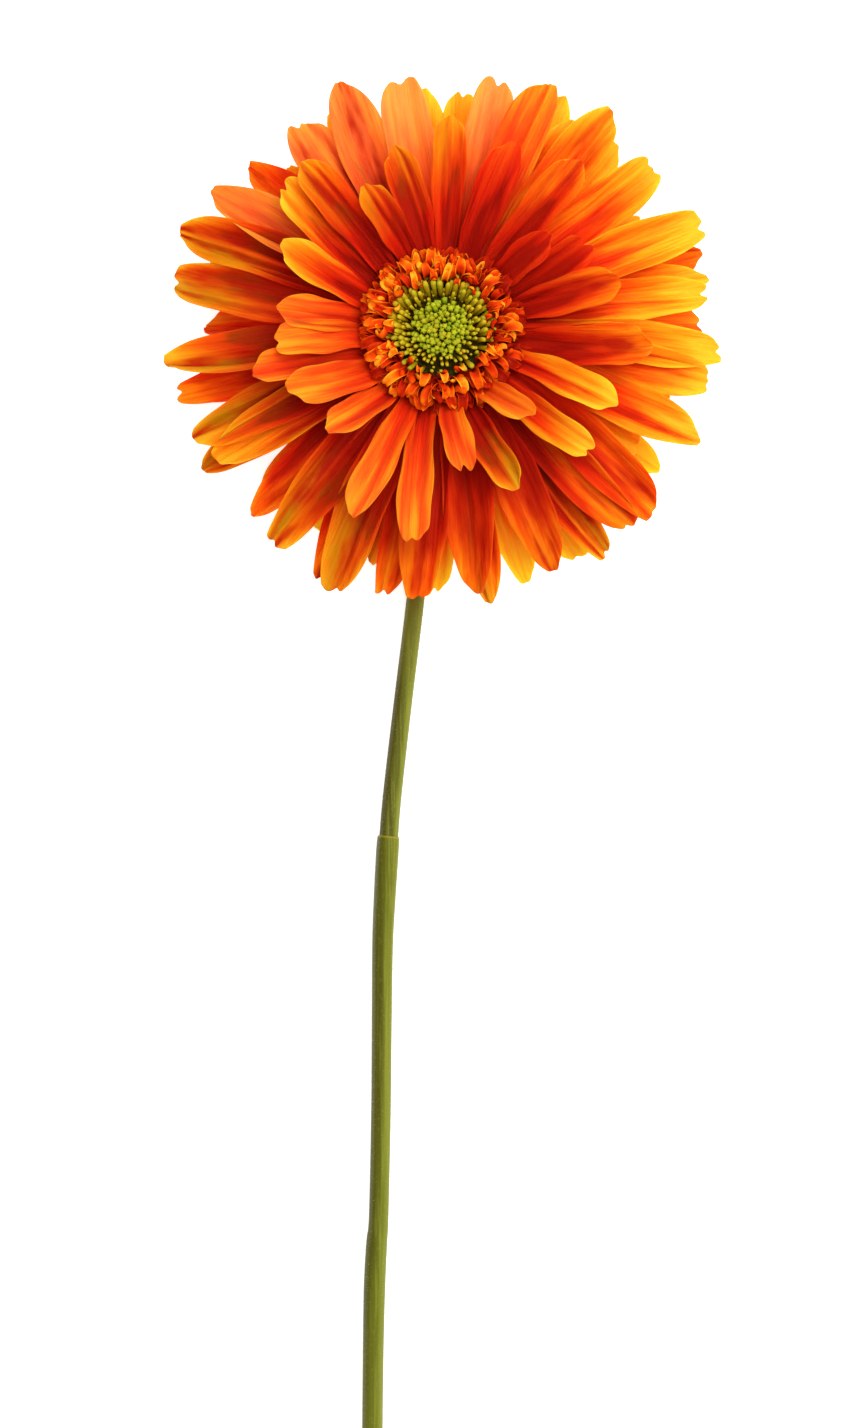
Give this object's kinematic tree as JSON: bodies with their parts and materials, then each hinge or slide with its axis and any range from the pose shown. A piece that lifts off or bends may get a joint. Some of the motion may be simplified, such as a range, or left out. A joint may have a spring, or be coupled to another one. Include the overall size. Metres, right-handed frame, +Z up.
{
  "type": "cut gerbera",
  "caption": "Orange double gerbera daisy with a green centre, cut with its long bare stem and laid face up on a surface.",
  "frame": {"origin": "on the surface that the flower lies on, under the middle of its bounding box", "axes": "+Z up and out of the bloom's face, +Y from the cut end of the stem to the bloom, +X to the right of the bloom seen from above"},
  "size_m": [0.1207, 0.4, 0.0388],
  "materials": {
    "ray_florets": "satin petals, red-orange at the root and yellow at the tip",
    "trans_florets": "satin orange-red florets with yellow-orange tips",
    "disc_florets": "matt yellow-green buds",
    "involucre": "matt green bracts with fine hairs",
    "stem_upper": "satin olive green with fine hairs",
    "stem_lower": "satin olive green with fine hairs"
  },
  "bodies": {
    "root": {"ray_florets": "ray_florets", "trans_florets": "trans_florets", "disc_florets": "disc_florets", "involucre": "involucre", "stem_upper": "stem_upper", "stem_lower": "stem_lower"}
  },
  "joints": []
}
